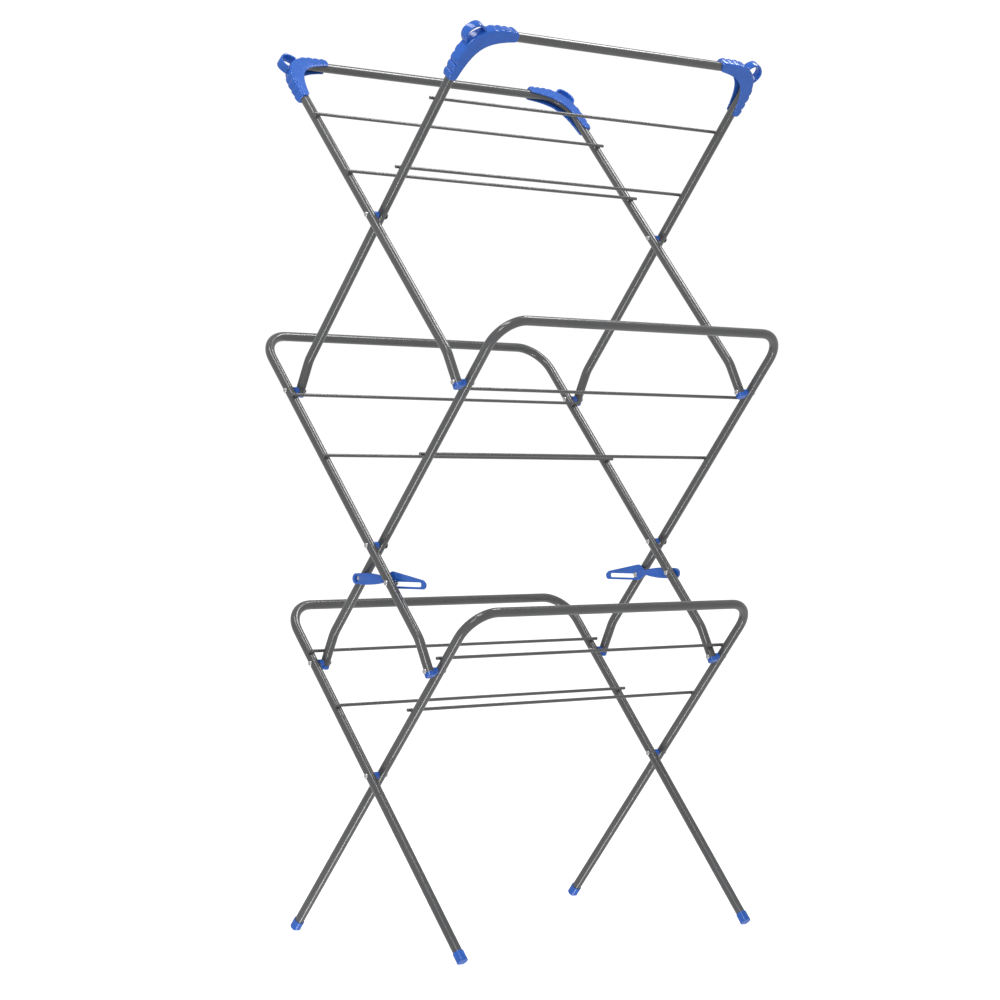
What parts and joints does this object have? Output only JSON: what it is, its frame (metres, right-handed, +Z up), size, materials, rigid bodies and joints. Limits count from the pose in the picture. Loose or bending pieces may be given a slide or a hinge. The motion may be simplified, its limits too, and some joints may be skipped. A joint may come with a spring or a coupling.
{
  "type": "folding clothes airer",
  "caption": "Free-standing folding clothes airer of crossed grey tube frames with blue plastic corners, feet and end caps, drying rods and lock links.",
  "frame": {"origin": "on the floor, under the middle of the open airer", "axes": "+Z up, X along the rails and rods, Y from front to back"},
  "size_m": [0.651, 0.5754, 1.3916],
  "materials": {
    "tube_paint": "satin grey powder coat",
    "rod_paint": "satin grey coat",
    "rivet_steel": "plain zinc-plated steel",
    "blue_plastic": "glossy moulded blue"
  },
  "bodies": {
    "tier_one_back": {"tier_one_back_frame": "tube_paint", "tier_one_back_rod_low": "rod_paint", "tier_one_back_rod_high": "rod_paint", "front_left_foot_cap": "blue_plastic", "front_right_foot_cap": "blue_plastic", "tier_one_crossing_rivets": "rivet_steel", "tier_one_crossing_spacers": "blue_plastic", "tier_one_back_pivot_rivets": "rivet_steel"},
    "tier_one_front": {"tier_one_front_frame": "tube_paint", "tier_one_front_rod_low": "rod_paint", "tier_one_front_rod_high": "rod_paint", "back_left_foot_cap": "blue_plastic", "back_right_foot_cap": "blue_plastic", "tier_one_front_pivot_rivets": "rivet_steel"},
    "tier_two_back": {"tier_two_back_frame": "tube_paint", "tier_two_back_rod_low": "rod_paint", "tier_two_back_rod_high": "rod_paint", "tier_two_front_left_end_cap": "blue_plastic", "tier_two_front_right_end_cap": "blue_plastic", "tier_two_crossing_rivets": "rivet_steel", "tier_two_crossing_spacers": "blue_plastic", "tier_two_back_pivot_rivets": "rivet_steel", "left_lock_pin": "rivet_steel", "right_lock_rivet": "rivet_steel"},
    "tier_two_front": {"tier_two_front_frame": "tube_paint", "tier_two_front_rod_low": "rod_paint", "tier_two_front_rod_high": "rod_paint", "tier_two_back_left_end_cap": "blue_plastic", "tier_two_back_right_end_cap": "blue_plastic", "tier_two_front_pivot_rivets": "rivet_steel", "left_lock_rivet": "rivet_steel", "right_lock_pin": "rivet_steel"},
    "tier_three_back": {"tier_three_back_frame": "tube_paint", "tier_three_back_rod_low": "rod_paint", "tier_three_back_rod_high": "rod_paint", "tier_three_front_left_end_cap": "blue_plastic", "tier_three_front_right_end_cap": "blue_plastic", "tier_three_crossing_rivets": "rivet_steel", "tier_three_crossing_spacers": "blue_plastic", "back_left_corner_cover": "blue_plastic", "back_right_corner_cover": "blue_plastic"},
    "tier_three_front": {"tier_three_front_frame": "tube_paint", "tier_three_front_rod_low": "rod_paint", "tier_three_front_rod_high": "rod_paint", "tier_three_back_left_end_cap": "blue_plastic", "tier_three_back_right_end_cap": "blue_plastic", "front_left_corner_cover": "blue_plastic", "front_right_corner_cover": "blue_plastic"},
    "left_lock": {"left_lock_link": "blue_plastic"},
    "right_lock": {"right_lock_link": "blue_plastic"}
  },
  "joints": [
    {"name": "fold", "type": "hinge", "parent": "tier_one_back", "child": "tier_one_front", "pos_m": [0, 0, 0.262], "axis": [1, 0, 0], "range_deg": [0, 49.8]},
    {"name": "middle_back_hinge", "type": "hinge", "parent": "tier_one_front", "child": "tier_two_back", "pos_m": [0, -0.13977, 0.42799], "axis": [-1, 0, 0], "range_deg": [0, 46.05]},
    {"name": "middle_front_hinge", "type": "hinge", "parent": "tier_one_back", "child": "tier_two_front", "pos_m": [0, 0.13977, 0.42799], "axis": [1, 0, 0], "range_deg": [0, 46.05]},
    {"name": "top_back_hinge", "type": "hinge", "parent": "tier_two_front", "child": "tier_three_back", "pos_m": [0, -0.20419, 0.85648], "axis": [-1, 0, 0], "range_deg": [0, 40.13]},
    {"name": "top_front_hinge", "type": "hinge", "parent": "tier_two_back", "child": "tier_three_front", "pos_m": [0, 0.20419, 0.85648], "axis": [1, 0, 0], "range_deg": [0, 40.13]},
    {"name": "left_lock_hinge", "type": "hinge", "parent": "tier_two_front", "child": "left_lock", "pos_m": [0, 0.04296, 0.56298], "axis": [-1, 0, 0], "range_deg": [0, 22.35]},
    {"name": "right_lock_hinge", "type": "hinge", "parent": "tier_two_back", "child": "right_lock", "pos_m": [0, -0.04296, 0.56298], "axis": [1, 0, 0], "range_deg": [0, 22.35]}
  ],
  "couplings": [
    {"joint": "middle_back_hinge", "follows": "fold", "ratio": 0.9245},
    {"joint": "middle_front_hinge", "follows": "fold", "ratio": 0.9245},
    {"joint": "top_back_hinge", "follows": "fold", "ratio": 0.80565},
    {"joint": "top_front_hinge", "follows": "fold", "ratio": 0.80565},
    {"joint": "left_lock_hinge", "follows": "fold", "ratio": 0.4486},
    {"joint": "right_lock_hinge", "follows": "fold", "ratio": 0.4486}
  ]
}
